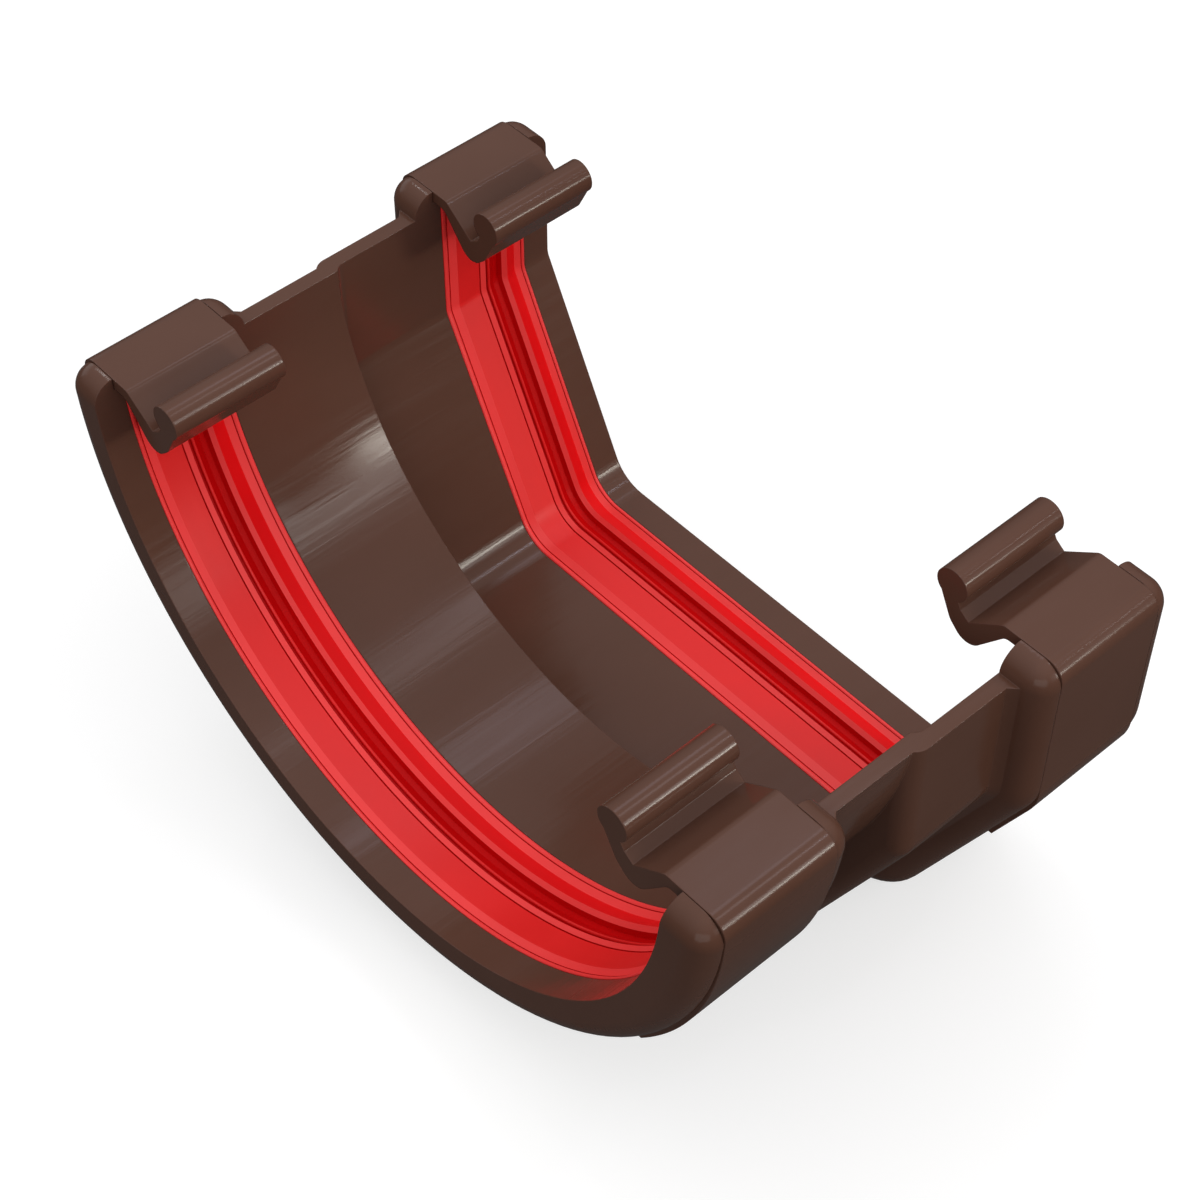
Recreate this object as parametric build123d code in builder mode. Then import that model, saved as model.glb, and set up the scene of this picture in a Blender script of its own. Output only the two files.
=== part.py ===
from build123d import *
from collections import namedtuple
import os

os.makedirs("parts", exist_ok=True)

# Adaptor that joins a half-round rain gutter (towards -Y) to a square-line gutter (towards +Y).
# Millimetres. X runs across the gutter, Y along the flow, Z up. The origin is on the floor
# under the middle of the adaptor. Sections are drawn with their zero height at the thin rim.

# Half-round trough
round_radius = 56.3
round_centre_rise = 4.6

# Square-line trough: upright sides that turn inwards to a narrower floor
square_half_width = 56.94
square_side_drop = 20.7
square_floor_half_width = 38.8
square_depth = 57.6
square_bend_radius = 3.0
square_corner_radius = 6.5

# Thin wall between the two collars, its step and the flares at its two ends
trough_wall = 2.34
throat_length = 31.5
step_inside_start = 0.4
step_inside_fillet = 2.0
step_outside_fillet = 2.6
flare_size = 1.2

# Collars, each with a nose on both sides of its clips
clip_length = 18.2
nose_length = 3.5
nose_fillet = 3.5
nose_corner_radius = 3.6
groove_depth = 3.2
collar_wall = 2.0

# Seals that lie in the collars' grooves. The ribbed face runs from the half-round side of the
# seal, each point as the distance along the flow and the height above the trough's surface
seal_width = 15.7
seal_face = (
    (0.0, 0.2),
    (0.5, -0.2),
    (2.4, 0.15),
    (6.9, 0.15),
    (7.2, 0.5),
    (8.4, 0.5),
    (8.9, -1.5),
    (11.0, -1.5),
    (11.2, 0.5),
    (12.25, 0.5),
    (13.9, -0.6),
    (15.2, 0.1),
    (seal_width, 0.2),
)

# Clips: a strap down the outside, a plate over the rim and a hook over the gutter's edge
strap_thickness = 1.95
strap_drop = 36.0
plate_thickness = 1.9
clip_corner_radius = 2.8
round_rim_rise = 3.3
round_strap_spring = 1.4
round_hook_reach = 12.0
square_rim_rise = 3.6
square_strap_spring = 1.2
square_hook_reach = 11.7

# Section of a hook, inwards from the rim
crease_inset = 3.0
crease_radius = 1.4
web_root_inset = 2.4
notch_inset = 8.3
notch_height = -0.45
notch_foot_run = 1.5
notch_foot_rise = 1.05
roll_radius = 2.55
roll_height = 3.85
belly_inset = 8.0
belly_height = -5.3
belly_radius = 2.5
neck_inset = 11.3
neck_height = -2.2

# Clearance between a recess or groove and what lies in it
fit_clearance = 0.1

collar_length = clip_length + 2 * nose_length
half_length = throat_length / 2 + collar_length
round_collar_start = -half_length
round_collar_end = round_collar_start + collar_length
square_collar_start = throat_length / 2
collar_spread = groove_depth + collar_wall
clip_spread = collar_spread + strap_thickness
rim_height = square_depth + clip_spread
seal_inset = nose_length + (clip_length - seal_width) / 2
seal_seat = -(groove_depth - fit_clearance)
round_axis_height = rim_height + round_centre_rise
round_rim_half_width = (round_radius**2 - round_centre_rise**2) ** 0.5
section_limit = 4 * round_radius


def station(y):
    """Cross-section plane at y, its own origin at the height of the thin wall's rim."""
    return Plane(origin=(0, y, rim_height), x_dir=(1, 0, 0), z_dir=(0, -1, 0))


def wall_plane(half_width, y, height):
    """Level plane at a side wall, its x along the flow and its y towards the trough."""
    return Plane(origin=(half_width, y, height), x_dir=(0, 1, 0), z_dir=(0, 0, 1))


def round_area(spread, top):
    """Inside of the half-round trough, spread outwards, up to a flat top."""
    with BuildSketch() as area:
        with Locations((0, round_centre_rise)):
            Circle(round_radius + spread)
        with Locations((0, top)):
            Rectangle(section_limit, section_limit, align=(Align.CENTER, Align.MIN), mode=Mode.SUBTRACT)
    return area.sketch


def square_area(spread, top):
    """Inside of the square trough, spread outwards, up to a flat top."""
    with BuildSketch() as area:
        Polygon(
            (-square_half_width, round_radius),
            (-square_half_width, -square_side_drop),
            (-square_floor_half_width, -square_depth),
            (square_floor_half_width, -square_depth),
            (square_half_width, -square_side_drop),
            (square_half_width, round_radius),
            align=None,
        )
        fillet(area.vertices().group_by(Axis.Y)[0], square_corner_radius)
        fillet(area.vertices().group_by(Axis.Y)[-2], square_bend_radius)
        if spread > 0:
            offset(amount=spread)
        with Locations((0, top)):
            Rectangle(section_limit, section_limit, align=(Align.CENTER, Align.MIN), mode=Mode.SUBTRACT)
    return area.sketch


def square_block(start, finish, spread, top, front_fillet):
    """Block of the square section whose front edge, towards the round trough, is rounded."""
    with BuildPart() as block:
        with BuildSketch(station(start)):
            add(square_area(spread, top))
        extrude(amount=start - finish)
        fillet(block.faces().sort_by(Axis.Y)[0].edges().sort_by(Axis.Z)[:-1], front_fillet)
    return block.part


def round_ring(section, y, top):
    """Turn a section at the side wall round the half-round trough, up to a flat top."""
    with BuildPart() as ring:
        with BuildSketch(wall_plane(round_radius, y, round_axis_height)):
            add(section)
        revolve(axis=Axis((0, 0, round_axis_height), (0, 1, 0)), revolution_arc=180)
        with BuildSketch(Plane.XY.offset(rim_height + top)):
            Rectangle(section_limit, section_limit)
        extrude(amount=round_radius, mode=Mode.SUBTRACT)
    return ring.part


def square_ring(section, y, top):
    """Sweep a section at the side wall round the square trough, up to a flat top."""
    with BuildPart() as ring:
        with BuildLine(station(y)) as path:
            FilletPolyline(
                (square_half_width, top),
                (square_half_width, -square_side_drop),
                (square_floor_half_width, -square_depth),
                (-square_floor_half_width, -square_depth),
                (-square_half_width, -square_side_drop),
                (-square_half_width, top),
                radius=(square_bend_radius, square_corner_radius, square_corner_radius, square_bend_radius),
            )
        with BuildSketch(wall_plane(square_half_width, y, rim_height + top)):
            add(section)
        sweep(path=path.line)
    return ring.part


def flare_section(direction):
    """Flare from the thin wall's outside up to a collar, drawn away from the collar."""
    with BuildSketch() as section:
        Polygon(
            (-direction * flare_size, -trough_wall - flare_size),
            (-direction * flare_size, -trough_wall / 2),
            (direction * flare_size, -trough_wall / 2),
            (direction * flare_size, -trough_wall),
            (0, -trough_wall - flare_size),
            align=None,
        )
    return section.sketch


def seal_section():
    """Section of a seal, flat on its seat and ribbed on the trough's side."""
    with BuildSketch() as section:
        Polygon((0, seal_seat), *seal_face, (seal_width, seal_seat), align=None)
    return section.sketch


def collar_block(end):
    """Solid block of a collar, its rim corners and both noses rounded."""
    with BuildPart() as block:
        with BuildSketch(station(end.start)) as outline:
            add(end.area(clip_spread, end.rim_rise))
            fillet(outline.vertices().group_by(Axis.Y)[-1], nose_corner_radius)
        extrude(amount=-collar_length)
        fillet(block.faces().filter_by(Axis.Y).edges(), nose_fillet)
    return block.part


def strap_zone(end, side):
    """The side of a section that a clip's plate lies in, and below the rim its strap."""
    outwards = Align.MIN if side > 0 else Align.MAX
    with BuildSketch() as zone:
        with Locations((side * end.half_width, end.rim_rise)):
            Rectangle(2 * clip_spread, 2 * end.rim_rise, align=(outwards, Align.MAX))
        with Locations((side * end.half_width / 2, 0)):
            Rectangle(end.half_width, strap_drop, align=(outwards, Align.MAX))
    return zone.sketch


def clip_recess(end, side):
    """What a clip's strap and plate take away from the collar, with clearance behind them."""
    with BuildSketch() as recess:
        add(strap_zone(end, side))
        plate_underside = end.rim_rise - plate_thickness
        add(end.area(collar_spread - fit_clearance, plate_underside - fit_clearance), mode=Mode.SUBTRACT)
    return recess.sketch


def clip_section(end, side):
    """Strap, rim plate and hook of a clip in one section."""
    plate_underside = end.rim_rise - plate_thickness
    with BuildSketch() as section:
        with Locations((0, -end.strap_spring)):
            add(end.area(clip_spread, end.rim_rise + end.strap_spring))
        fillet(section.vertices().group_by(Axis.Y)[-1], clip_corner_radius)
        add(end.area(collar_spread, plate_underside), mode=Mode.SUBTRACT)
        add(strap_zone(end, side), mode=Mode.INTERSECT)
        add(hook_section(end, side))
    return section.sketch


def hook_section(end, side):
    """Hook of a clip: a sloping web inside the rim that ends in a round roll."""
    plate_underside = end.rim_rise - plate_thickness
    edge = end.half_width
    roll = edge - end.hook_reach
    foot = edge - notch_inset - notch_foot_run
    with BuildSketch() as section:
        with BuildLine():
            FilletPolyline(
                (side * foot, notch_height + notch_foot_rise),
                (side * (edge - notch_inset), notch_height),
                (side * (edge - crease_inset), end.rim_rise),
                (side * (edge + plate_thickness), end.rim_rise),
                radius=(0, crease_radius),
            )
            Line((side * (edge + plate_thickness), end.rim_rise), (side * (edge + plate_thickness), plate_underside))
            FilletPolyline(
                (side * (edge + plate_thickness), plate_underside),
                (side * (edge - web_root_inset), plate_underside),
                (side * (edge - belly_inset), belly_height),
                (side * (edge - neck_inset), neck_height),
                (side * (roll - roll_radius), roll_height),
                radius=(crease_radius, belly_radius, belly_radius),
            )
            Polyline(
                (side * (roll - roll_radius), roll_height),
                (side * roll, roll_height),
                (side * foot, notch_height + notch_foot_rise),
            )
        make_face()
        with Locations((side * roll, roll_height)):
            Circle(roll_radius)
    return section.sketch


End = namedtuple("End", "name area ring half_width start rim_rise strap_spring hook_reach flare_at flare_turn")
ends = (
    End(
        name="round",
        area=round_area,
        ring=round_ring,
        half_width=round_rim_half_width,
        start=round_collar_start,
        rim_rise=round_rim_rise,
        strap_spring=round_strap_spring,
        hook_reach=round_hook_reach,
        flare_at=round_collar_end,
        flare_turn=1,
    ),
    End(
        name="square",
        area=square_area,
        ring=square_ring,
        half_width=square_half_width,
        start=square_collar_start,
        rim_rise=square_rim_rise,
        strap_spring=square_strap_spring,
        hook_reach=square_hook_reach,
        flare_at=square_collar_start,
        flare_turn=-1,
    ),
)
highest_rim = max(end.rim_rise for end in ends)

with BuildPart() as body:
    # Thin wall of the throat, with the step from round to square, and the collars
    with BuildSketch(station(round_collar_start + nose_length)):
        add(round_area(trough_wall, 0))
    extrude(amount=round_collar_start + nose_length - step_inside_start)
    add(
        square_block(
            step_inside_start - trough_wall,
            square_collar_start + nose_length,
            trough_wall,
            0,
            step_outside_fillet,
        )
    )
    for end in ends:
        add(collar_block(end))
        add(end.ring(flare_section(end.flare_turn), end.flare_at, 0))

    # Water channel through it
    with BuildSketch(station(round_collar_start)):
        add(round_area(0, highest_rim))
    extrude(amount=round_collar_start - step_inside_start - step_inside_fillet, mode=Mode.SUBTRACT)
    add(
        square_block(step_inside_start, half_length, 0, highest_rim, step_inside_fillet),
        mode=Mode.SUBTRACT,
    )

    # Seal grooves and clip recesses
    for end in ends:
        with BuildSketch(station(end.start + seal_inset)):
            add(end.area(groove_depth, highest_rim))
        extrude(amount=-seal_width, mode=Mode.SUBTRACT)
        for side in (-1, 1):
            with BuildSketch(station(end.start + nose_length - fit_clearance)):
                add(clip_recess(end, side))
            extrude(amount=-(clip_length + 2 * fit_clearance), mode=Mode.SUBTRACT)

body.part.label = "adaptor_body"
export_step(body.part, "parts/adaptor_body.step")

for end in ends:
    for side_name, side in (("left", -1), ("right", 1)):
        with BuildPart() as clip:
            with BuildSketch(station(end.start + nose_length)):
                add(clip_section(end, side))
            extrude(amount=-clip_length)
        clip.part.label = "clip_" + end.name + "_" + side_name
        export_step(clip.part, "parts/" + clip.part.label + ".step")

for end in ends:
    with BuildPart() as seal:
        seal_top = end.rim_rise - plate_thickness - fit_clearance
        add(end.ring(seal_section(), end.start + seal_inset, seal_top))
    seal.part.label = "seal_" + end.name
    export_step(seal.part, "parts/" + seal.part.label + ".step")
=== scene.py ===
import math

import bpy
from mathutils import Euler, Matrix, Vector


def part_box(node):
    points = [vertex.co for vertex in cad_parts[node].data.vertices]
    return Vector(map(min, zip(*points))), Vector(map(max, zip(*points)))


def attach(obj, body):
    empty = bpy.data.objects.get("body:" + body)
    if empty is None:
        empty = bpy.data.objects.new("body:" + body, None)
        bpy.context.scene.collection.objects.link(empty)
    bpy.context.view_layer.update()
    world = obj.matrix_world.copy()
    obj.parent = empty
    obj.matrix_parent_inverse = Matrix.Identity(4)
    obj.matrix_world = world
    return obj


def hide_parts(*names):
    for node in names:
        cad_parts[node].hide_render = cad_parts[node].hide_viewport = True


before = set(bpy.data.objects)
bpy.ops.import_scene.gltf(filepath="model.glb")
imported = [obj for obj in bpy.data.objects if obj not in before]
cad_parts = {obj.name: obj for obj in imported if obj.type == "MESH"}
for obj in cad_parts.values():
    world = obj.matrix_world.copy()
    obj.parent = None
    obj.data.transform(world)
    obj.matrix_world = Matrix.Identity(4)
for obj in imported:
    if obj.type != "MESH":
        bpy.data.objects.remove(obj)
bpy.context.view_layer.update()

scene = bpy.context.scene

# Gutter adaptor. Metres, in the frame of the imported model: X across the gutter, Y along the
# flow from the half-round end to the square end, Z up.

CLIPS = ("clip_round_left", "clip_round_right", "clip_square_left", "clip_square_right")
SEALS = ("seal_round", "seal_square")
WHITE = (1.0, 1.0, 1.0)

# Camera, solved from the photograph
CAMERA_PLACE = (0.178062, -0.160714, 0.317303)
CAMERA_AZIMUTH = 47.8374
CAMERA_ELEVATION = 48.9459
CAMERA_ROLL = -0.1546
CAMERA_LENS = 79.17
CAMERA_SENSOR = 36.0

# Brown plastic. Colours are linear, and a noise's scale counts its patches in a metre
BROWN = (0.110, 0.050, 0.034)
BROWN_DARK = (0.098, 0.043, 0.028)
BROWN_EDGE = (0.135, 0.066, 0.050)
EDGE_WEAR = 0.5
PLASTIC_EDGE = 0.00022
PLASTIC_IOR = 1.28
PLASTIC_ROUGHNESS = (0.12, 0.20)
PLASTIC_NOISE_RANGE = (0.35, 0.65)
CLOUD_SCALE = 34.0
CLOUD_STRETCH = (1.0, 0.6, 1.0)
STREAK_SCALE = 760.0
STREAK_STRETCH = (1.0, 0.045, 1.0)
STREAK_DEPTH = 0.00008
BODY_STREAKS = 0.42
CLIP_STREAKS = 0.04
GRAIN_SCALE = 5200.0
GRAIN_DEPTH = 0.00002
GRAIN_STRENGTH = 0.03

# Red rubber, in lit and shaded copies of one material: the tones paint light and shade onto the
# seal. Each tone has a colour, the darker colour of its bloom and a level of shine
# flat is the plain rubber; rib is paler (painted light); deep is darker (painted shade in grooves
# and the channel); slope is a deeper, more saturated red (painted shade). The lower shine of
# slope and deep also stands in for shade
SEAL_PAINTED_SHADING_TONES = {
    "flat": ((0.84, 0.012, 0.012), (0.78, 0.009, 0.009), 0.5),
    "rib": ((0.97, 0.050, 0.050), (0.91, 0.042, 0.042), 0.5),
    "slope": ((0.84, 0.002, 0.004), (0.78, 0.001, 0.003), 0.25),
    "deep": ((0.56, 0.001, 0.002), (0.50, 0.001, 0.002), 0.1),
}
RUBBER_EDGE = 0.00006
RUBBER_IOR = 1.42
RUBBER_ROUGHNESS = (0.40, 0.50)
RUBBER_NOISE_RANGE = (0.3, 0.7)
BLOOM_SCALE = 60.0
SKIN_SCALE = 3800.0
SKIN_DEPTH = 0.00003
SKIN_STRENGTH = 0.12

# Normals that round an edge, and the cosine of their turn where the wear of an edge is full
BEVEL_SAMPLES = 8
WORN_TURN = 0.8

# Sockets of a Mix node, which share their names
MIX_FACTOR = 0
MIX_NUMBERS = (2, 3)
MIX_COLOURS = (6, 7)
MIXED_NUMBER = 0
MIXED_COLOUR = 2


def new_material(name):
    """Empty node material with its output and a Principled shader."""
    material = bpy.data.materials.new(name)
    material.use_nodes = True
    tree = material.node_tree
    tree.nodes.clear()
    output = tree.nodes.new("ShaderNodeOutputMaterial")
    shader = tree.nodes.new("ShaderNodeBsdfPrincipled")
    tree.links.new(shader.outputs["BSDF"], output.inputs["Surface"])
    return material, tree, shader


def noise(tree, scale, detail, roughness=0.5, stretch=(1.0, 1.0, 1.0)):
    """Noise in object coordinates, which are first stretched by a scale along each axis."""
    coordinate = tree.nodes.new("ShaderNodeTexCoord")
    mapping = tree.nodes.new("ShaderNodeMapping")
    mapping.inputs["Scale"].default_value = stretch
    tree.links.new(coordinate.outputs["Object"], mapping.inputs["Vector"])
    node = tree.nodes.new("ShaderNodeTexNoise")
    node.inputs["Scale"].default_value = scale
    node.inputs["Detail"].default_value = detail
    node.inputs["Roughness"].default_value = roughness
    tree.links.new(mapping.outputs["Vector"], node.inputs["Vector"])
    return node.outputs["Fac"]


def map_range(tree, value, source, target=(0.0, 1.0)):
    """A value's place in one range, carried over to another range and kept inside it."""
    node = tree.nodes.new("ShaderNodeMapRange")
    node.inputs["From Min"].default_value, node.inputs["From Max"].default_value = source
    node.inputs["To Min"].default_value, node.inputs["To Max"].default_value = target
    tree.links.new(value, node.inputs["Value"])
    return node.outputs["Result"]


def mix_colour(tree, factor, first, second):
    """Mix of two colours; each is a colour or a socket."""
    node = tree.nodes.new("ShaderNodeMix")
    node.data_type = "RGBA"
    tree.links.new(factor, node.inputs[MIX_FACTOR])
    for place, colour in zip(MIX_COLOURS, (first, second)):
        if isinstance(colour, tuple):
            node.inputs[place].default_value = (*colour, 1.0)
        else:
            tree.links.new(colour, node.inputs[place])
    return node.outputs[MIXED_COLOUR]


def bump(tree, height, strength, depth, normal):
    """Normal that is tilted by the slopes of a height."""
    node = tree.nodes.new("ShaderNodeBump")
    node.inputs["Strength"].default_value = strength
    node.inputs["Distance"].default_value = depth
    tree.links.new(height, node.inputs["Height"])
    tree.links.new(normal, node.inputs["Normal"])
    return node.outputs["Normal"]


def rounded_normal(tree, radius):
    """Normal that rounds sharp edges."""
    bevel = tree.nodes.new("ShaderNodeBevel")
    bevel.samples = BEVEL_SAMPLES
    bevel.inputs["Radius"].default_value = radius
    return bevel.outputs["Normal"]


def edge_wear(tree, normal):
    """Wear of the edges, where the rounded normal turns away from the surface's own."""
    geometry = tree.nodes.new("ShaderNodeNewGeometry")
    product = tree.nodes.new("ShaderNodeVectorMath")
    product.operation = "DOT_PRODUCT"
    tree.links.new(normal, product.inputs[0])
    tree.links.new(geometry.outputs["Normal"], product.inputs[1])
    return map_range(tree, product.outputs["Value"], (1.0, WORN_TURN), (0.0, EDGE_WEAR))


def plastic(name, streak_strength):
    """Glossy brown moulded plastic with faint flow streaks along the gutter."""
    material, tree, shader = new_material(name)
    cloud = noise(tree, CLOUD_SCALE, detail=4.0, stretch=CLOUD_STRETCH)
    streaks = noise(tree, STREAK_SCALE, detail=3.0, roughness=0.55, stretch=STREAK_STRETCH)
    grain = noise(tree, GRAIN_SCALE, detail=2.0)
    edge_normal = rounded_normal(tree, PLASTIC_EDGE)
    clouded = mix_colour(tree, map_range(tree, cloud, PLASTIC_NOISE_RANGE), BROWN_DARK, BROWN)
    worn = mix_colour(tree, edge_wear(tree, edge_normal), clouded, BROWN_EDGE)
    streaked = map_range(tree, streaks, PLASTIC_NOISE_RANGE, PLASTIC_ROUGHNESS)
    grained = bump(tree, grain, GRAIN_STRENGTH, GRAIN_DEPTH, edge_normal)
    normal = bump(tree, streaks, streak_strength, STREAK_DEPTH, grained)
    tree.links.new(worn, shader.inputs["Base Color"])
    tree.links.new(streaked, shader.inputs["Roughness"])
    tree.links.new(normal, shader.inputs["Normal"])
    shader.inputs["IOR"].default_value = PLASTIC_IOR
    return material


def rubber(name, colour, darker, shine):
    """Red rubber with a faint bloom and a fine skin."""
    material, tree, shader = new_material(name)
    bloom = noise(tree, BLOOM_SCALE, detail=4.0)
    skin = noise(tree, SKIN_SCALE, detail=3.0)
    tint = mix_colour(tree, map_range(tree, bloom, RUBBER_NOISE_RANGE), darker, colour)
    dulled = map_range(tree, bloom, RUBBER_NOISE_RANGE, RUBBER_ROUGHNESS)
    normal = bump(tree, skin, SKIN_STRENGTH, SKIN_DEPTH, rounded_normal(tree, RUBBER_EDGE))
    tree.links.new(tint, shader.inputs["Base Color"])
    tree.links.new(dulled, shader.inputs["Roughness"])
    tree.links.new(normal, shader.inputs["Normal"])
    shader.inputs["IOR"].default_value = RUBBER_IOR
    shader.inputs["Specular IOR Level"].default_value = shine
    return material


body_plastic = plastic("brown_plastic_body", BODY_STREAKS)
clip_plastic = plastic("brown_plastic_clips", CLIP_STREAKS)
# Lit and shaded copies of one rubber, one per tone: painted light and painted shade for the seal
painted_shading_rubbers = {tone: rubber("red_rubber_painted_shading_" + tone, *look) for tone, look in SEAL_PAINTED_SHADING_TONES.items()}

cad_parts["adaptor_body"].material_slots[0].material = body_plastic
for name in CLIPS:
    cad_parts[name].material_slots[0].material = clip_plastic

# Seals with their fine ribs, beads and grooves, in the place of the plainer CAD solids. The
# sizes are the CAD's, in millimetres; heights count from the thin wall's rim
MM = 0.001
ROUND_RADIUS = 56.3
ROUND_CENTRE = 4.6
ROUND_SEAL_TOP = 1.3
ROUND_STEPS = 112
SQUARE_SEAL_TOP = 1.6
SQUARE_CORNERS = ((56.94, -20.7), (38.8, -57.6), (-38.8, -57.6), (-56.94, -20.7))
SQUARE_RADII = (3.0, 6.5, 6.5, 3.0)
SQUARE_STEPS = 8
SEAL_WIDTH = 15.7
SEAL_SEAT = -3.1
SHARP_ANGLE = 16.0

# How much further along the flow the middle of a seal's face lies than in the section below
ROUND_SLIDE = 0.0
SQUARE_SLIDE = 0.6

# Ribbed face: distance along the flow from the half-round side, height above the trough, and
# the tone of the face that starts there. The tones are painted light and shade: rib is painted
# light on the faces turned toward the light, deep is painted shade in the grooves and the
# channel, slope is painted shade on the faces turned away
SEAL_FACE = (
    # Bead and fine line
    (0.0, -0.15, "slope"), (0.05, 0.04, "rib"), (0.18, 0.16, "rib"), (0.42, 0.16, "rib"),
    (0.68, 0.0, "deep"), (0.72, -0.14, "deep"), (0.80, -0.14, "deep"),
    # Broad flat band
    (0.84, -0.02, "rib"), (1.92, 0.34, "flat"), (6.02, 0.08, "slope"),
    # Fine groove and ridge
    (6.05, -0.16, "deep"), (6.20, -0.16, "deep"), (6.23, 0.12, "rib"), (6.98, 0.46, "deep"),
    (7.02, -0.30, "deep"), (7.62, -0.30, "deep"),
    # Rounded shoulder
    (7.66, -0.10, "flat"), (7.74, 0.10, "flat"), (7.90, 0.20, "flat"), (8.06, 0.10, "flat"),
    # Channel
    (8.16, -0.10, "deep"), (9.35, -0.98, "deep"), (10.30, -0.98, "deep"),
    # Rib and the slope behind it
    (10.62, -0.14, "rib"), (11.26, 0.46, "slope"), (13.60, -0.50, "rib"),
    # Fine line and bead
    (14.70, -0.02, "deep"), (14.74, -0.16, "deep"), (14.84, -0.16, "deep"),
    (14.88, 0.0, "rib"), (15.08, 0.14, "rib"), (15.36, 0.16, "rib"), (15.60, 0.04, "flat"),
    (SEAL_WIDTH, -0.15, "flat"),
)


def round_path(height):
    """Points across the half-round trough at a height above its surface, from right to left."""
    radius = ROUND_RADIUS - height
    dip = math.asin((ROUND_CENTRE - ROUND_SEAL_TOP) / radius)
    span = math.pi - 2 * dip
    angles = [-dip - span * step / ROUND_STEPS for step in range(ROUND_STEPS + 1)]
    return [(radius * math.cos(a), ROUND_CENTRE + radius * math.sin(a)) for a in angles]


def square_path(height):
    """Points across the square trough at a height above its surface, from right to left."""
    ends = ((SQUARE_CORNERS[0][0], SQUARE_SEAL_TOP), (SQUARE_CORNERS[-1][0], SQUARE_SEAL_TOP))
    stops = [Vector(point) for point in (ends[0], *SQUARE_CORNERS, ends[1])]
    points = [(ends[0][0] - height, SQUARE_SEAL_TOP)]
    for before, corner, after, radius in zip(stops, stops[1:], stops[2:], SQUARE_RADII):
        arriving = (corner - before).normalized()
        leaving = (after - corner).normalized()
        turn = arriving.angle(leaving)
        inward = Vector((arriving.y, -arriving.x))
        centre = corner - arriving * radius * math.tan(turn / 2) + inward * radius
        reach = radius - height
        first = math.atan2(-inward.y, -inward.x)
        for step in range(SQUARE_STEPS + 1):
            a = first - turn * step / SQUARE_STEPS
            points.append((centre.x + reach * math.cos(a), centre.y + reach * math.sin(a)))
    points.append((ends[1][0] + height, SQUARE_SEAL_TOP))
    return points


def seal_section(slide):
    """Closed section of a seal. The middle of its face is shifted by the slide, its ends stay."""
    face = []
    for along, height, tone in SEAL_FACE:
        from_middle = 2 * along / SEAL_WIDTH - 1
        face.append((along + slide * (1 - from_middle ** 4), height, tone))
    return ((0.0, SEAL_SEAT, "flat"), *face, (SEAL_WIDTH, SEAL_SEAT, "flat"))


def ribbed_seal(name, node, path, seal_top, slide):
    """Mesh of a seal: each point of its section follows the path across the trough."""
    lowest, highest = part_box(node)
    rim = highest.z - seal_top * MM
    section = seal_section(slide)
    strands = []
    for along, height, tone in section:
        y = lowest.y + along * MM
        strands.append([(x * MM, y, rim + z * MM) for x, z in path(height)])
    count = len(strands[0])
    total = len(strands)
    slots = list(SEAL_PAINTED_SHADING_TONES)
    faces = []
    slot_of_face = []
    for strand in range(total):
        following = (strand + 1) % total
        for step in range(count - 1):
            a, b = strand * count + step, following * count + step
            faces.append((a, b, b + 1, a + 1))
            # Each face takes the rubber of its tone: painted light on ribs, painted shade on
            # slopes, grooves and the channel
            slot_of_face.append(slots.index(section[strand][2]))
    faces.append([strand * count for strand in reversed(range(total))])
    faces.append([strand * count + count - 1 for strand in range(total)])
    slot_of_face += [slots.index("flat")] * 2
    mesh = bpy.data.meshes.new(name)
    mesh.from_pydata([point for strand in strands for point in strand], [], faces)
    mesh.shade_smooth()
    mesh.set_sharp_from_angle(angle=math.radians(SHARP_ANGLE))
    for tone in slots:
        mesh.materials.append(painted_shading_rubbers[tone])
    mesh.polygons.foreach_set("material_index", slot_of_face)
    seal = bpy.data.objects.new(name, mesh)
    scene.collection.objects.link(seal)
    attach(seal, "root")
    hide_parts(node)


for name in SEALS:
    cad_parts[name].material_slots[0].material = painted_shading_rubbers["flat"]
ribbed_seal("seal_round_ribbed", "seal_round", round_path, ROUND_SEAL_TOP, ROUND_SLIDE)
ribbed_seal("seal_square_ribbed", "seal_square", square_path, SQUARE_SEAL_TOP, SQUARE_SLIDE)

# Floor and world, white to the camera. They show more dimly in gloss, and throw little light back
FLOOR_REACH = 6.0
FLOOR_SEEN = (0.50, 0.50, 0.50)
FLOOR_UNSEEN = (0.03, 0.03, 0.03)
FLOOR_ROUGHNESS = 0.9
FLOOR_GLOW = 0.60
GLOSS_SHARE = 0.05
DOME_FOOT = 0.02
DOME_LEVEL = 1.2


def seen_share(tree):
    """1 for camera and transmission rays, a small share for glossy rays, 0 for the rest."""
    path = tree.nodes.new("ShaderNodeLightPath")
    seen = tree.nodes.new("ShaderNodeMath")
    seen.operation = "MAXIMUM"
    tree.links.new(path.outputs["Is Camera Ray"], seen.inputs[0])
    tree.links.new(path.outputs["Is Transmission Ray"], seen.inputs[1])
    share = tree.nodes.new("ShaderNodeMath")
    share.operation = "MULTIPLY_ADD"
    share.inputs[1].default_value = GLOSS_SHARE
    tree.links.new(path.outputs["Is Glossy Ray"], share.inputs[0])
    tree.links.new(seen.outputs["Value"], share.inputs[2])
    return share.outputs["Value"]


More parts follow.
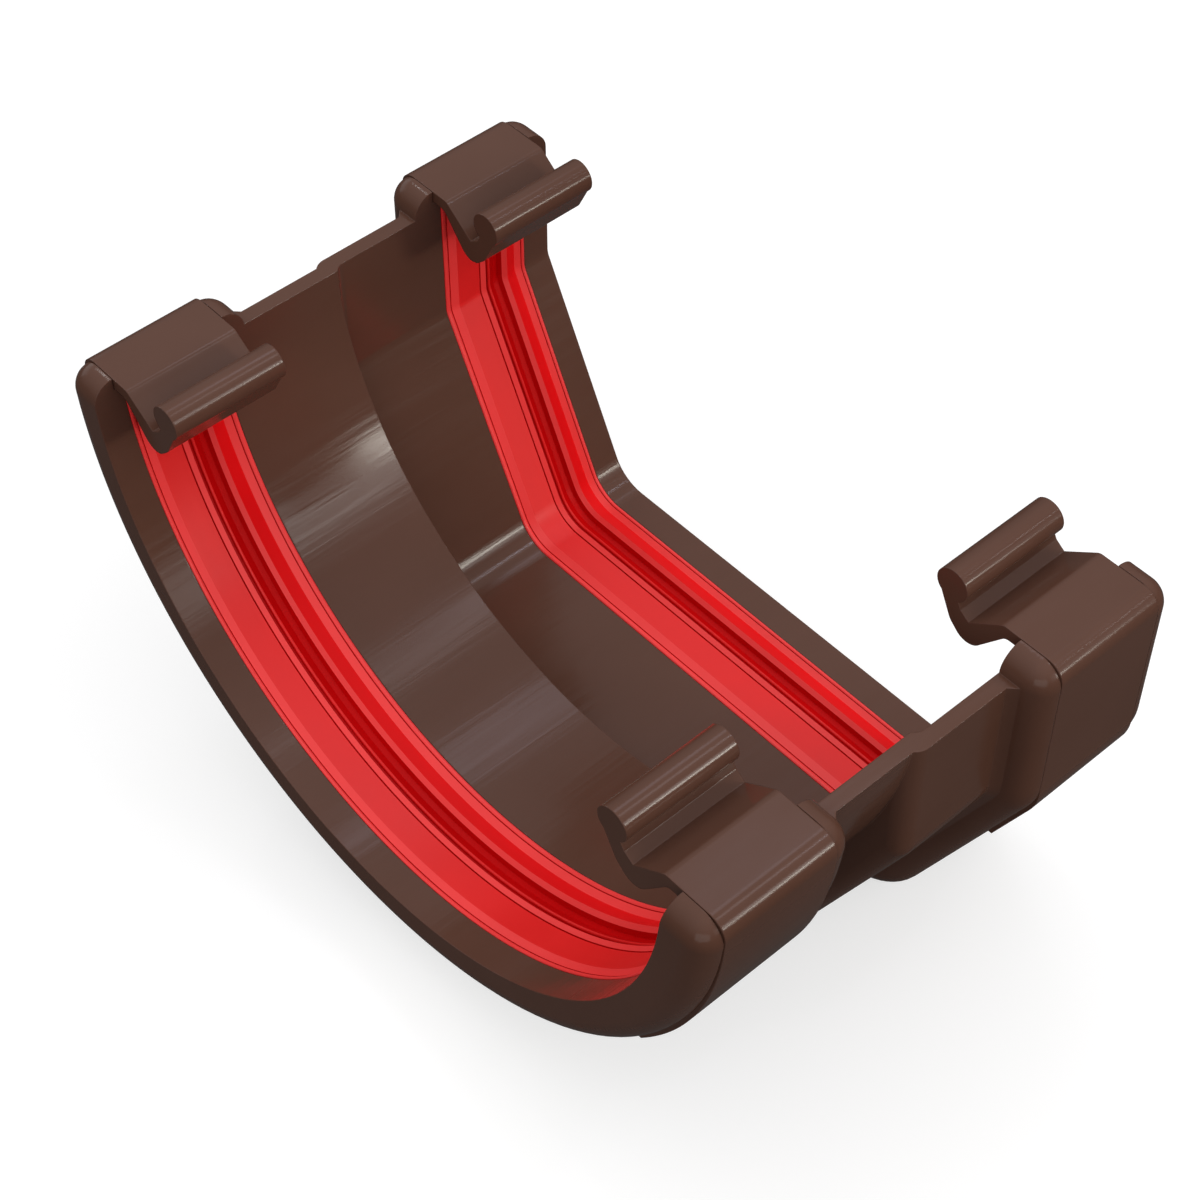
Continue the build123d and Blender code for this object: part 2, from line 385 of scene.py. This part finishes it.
def floor_material():
    """Pale floor that is white to the camera and keeps the object's shadow."""
    material, tree, shader = new_material("white_floor")
    share = seen_share(tree)
    tint = mix_colour(tree, share, FLOOR_UNSEEN, FLOOR_SEEN)
    glow = map_range(tree, share, (0.0, 1.0), (0.0, FLOOR_GLOW))
    tree.links.new(tint, shader.inputs["Base Color"])
    tree.links.new(glow, shader.inputs["Emission Strength"])
    shader.inputs["Emission Color"].default_value = (*WHITE, 1.0)
    shader.inputs["Roughness"].default_value = FLOOR_ROUGHNESS
    shader.inputs["Specular IOR Level"].default_value = 0.0
    return material


def add_floor():
    """Square floor round the origin."""
    mesh = bpy.data.meshes.new("floor")
    signs = ((-1, -1), (1, -1), (1, 1), (-1, 1))
    corners = [(x * FLOOR_REACH, y * FLOOR_REACH, 0.0) for x, y in signs]
    mesh.from_pydata(corners, [], [(0, 1, 2, 3)])
    mesh.materials.append(floor_material())
    floor = bpy.data.objects.new("floor", mesh)
    scene.collection.objects.link(floor)


def add_world():
    """Dome that is white to the camera and lights the object from above."""
    world = bpy.data.worlds.new("studio")
    scene.world = world
    world.use_nodes = True
    tree = world.node_tree
    tree.nodes.clear()
    output = tree.nodes.new("ShaderNodeOutputWorld")
    background = tree.nodes.new("ShaderNodeBackground")
    direction = tree.nodes.new("ShaderNodeTexCoord")
    parts = tree.nodes.new("ShaderNodeSeparateXYZ")
    tree.links.new(direction.outputs["Generated"], parts.inputs["Vector"])
    dome = map_range(tree, parts.outputs["Z"], (0.0, 1.0), (DOME_FOOT, DOME_LEVEL))
    strength = tree.nodes.new("ShaderNodeMix")
    unseen, seen = MIX_NUMBERS
    tree.links.new(seen_share(tree), strength.inputs[MIX_FACTOR])
    tree.links.new(dome, strength.inputs[unseen])
    strength.inputs[seen].default_value = 1.0
    background.inputs["Color"].default_value = (*WHITE, 1.0)
    tree.links.new(strength.outputs[MIXED_NUMBER], background.inputs["Strength"])
    tree.links.new(background.outputs["Background"], output.inputs["Surface"])


add_floor()
add_world()

# Lamps, all at one distance from the middle of the object
LIGHT_DISTANCE = 1.5
LIGHT_AIM = Vector((0.0, 0.0, 0.04))


def area_light(name, azimuth, elevation, width, height, radiance, colour=WHITE):
    """Soft light seen from the object at an azimuth from +X towards +Y and an elevation.

    Its width and height are in metres, and its radiance is the brightness of its own face.
    """
    light = bpy.data.lights.new(name, "AREA")
    light.shape = "RECTANGLE"
    light.size = width
    light.size_y = height
    light.energy = radiance * math.pi * width * height
    light.color = colour
    lamp = bpy.data.objects.new(name, light)
    a, e = math.radians(azimuth), math.radians(elevation)
    towards = Vector((math.cos(a) * math.cos(e), math.sin(a) * math.cos(e), math.sin(e)))
    lamp.location = LIGHT_AIM + towards * LIGHT_DISTANCE
    lamp.rotation_euler = towards.to_track_quat("Z", "Y").to_euler()
    scene.collection.objects.link(lamp)


area_light("key_core", 28.5, 15.0, 0.27, 0.18, 22.0, (1.0, 0.97, 0.86))
area_light("key_soft", 24.5, 20.5, 0.20, 0.40, 6.0, (1.0, 0.98, 0.94))
area_light("sheen_right", 54.0, 61.0, 0.20, 0.30, 2.6, (1.0, 0.94, 0.97))
area_light("sheen_back", 122.0, 62.5, 0.30, 0.30, 2.8, (0.88, 0.86, 1.0))
area_light("dot_cool", 57.0, 56.0, 0.05, 0.05, 40.0, (0.75, 0.82, 1.0))
area_light("dot_warm", 48.0, 40.0, 0.04, 0.04, 40.0)
area_light("fill", -45.0, 10.0, 1.4, 0.9, 1.35)
area_light("left", 171.0, 49.0, 0.08, 0.08, 20.0)
area_light("fill_left", 185.0, 20.0, 1.2, 0.7, 0.9)
area_light("fill_right", 20.0, 22.0, 1.0, 0.6, 0.7)


def add_camera():
    """Camera at the photograph's place and angle."""
    camera = bpy.data.cameras.new("camera")
    camera.sensor_width = CAMERA_SENSOR
    camera.sensor_fit = "HORIZONTAL"
    camera.lens = CAMERA_LENS
    camera_object = bpy.data.objects.new("camera", camera)
    turn = Euler((0.0, 0.0, math.radians(CAMERA_AZIMUTH))).to_matrix()
    tilt = Euler((math.radians(90.0 - CAMERA_ELEVATION), 0.0, 0.0)).to_matrix()
    roll = Euler((0.0, 0.0, math.radians(-CAMERA_ROLL))).to_matrix()
    camera_object.matrix_world = (turn @ tilt @ roll).to_4x4()
    camera_object.location = CAMERA_PLACE
    scene.collection.objects.link(camera_object)
    scene.camera = camera_object


add_camera()
scene.view_settings.view_transform = "Standard"
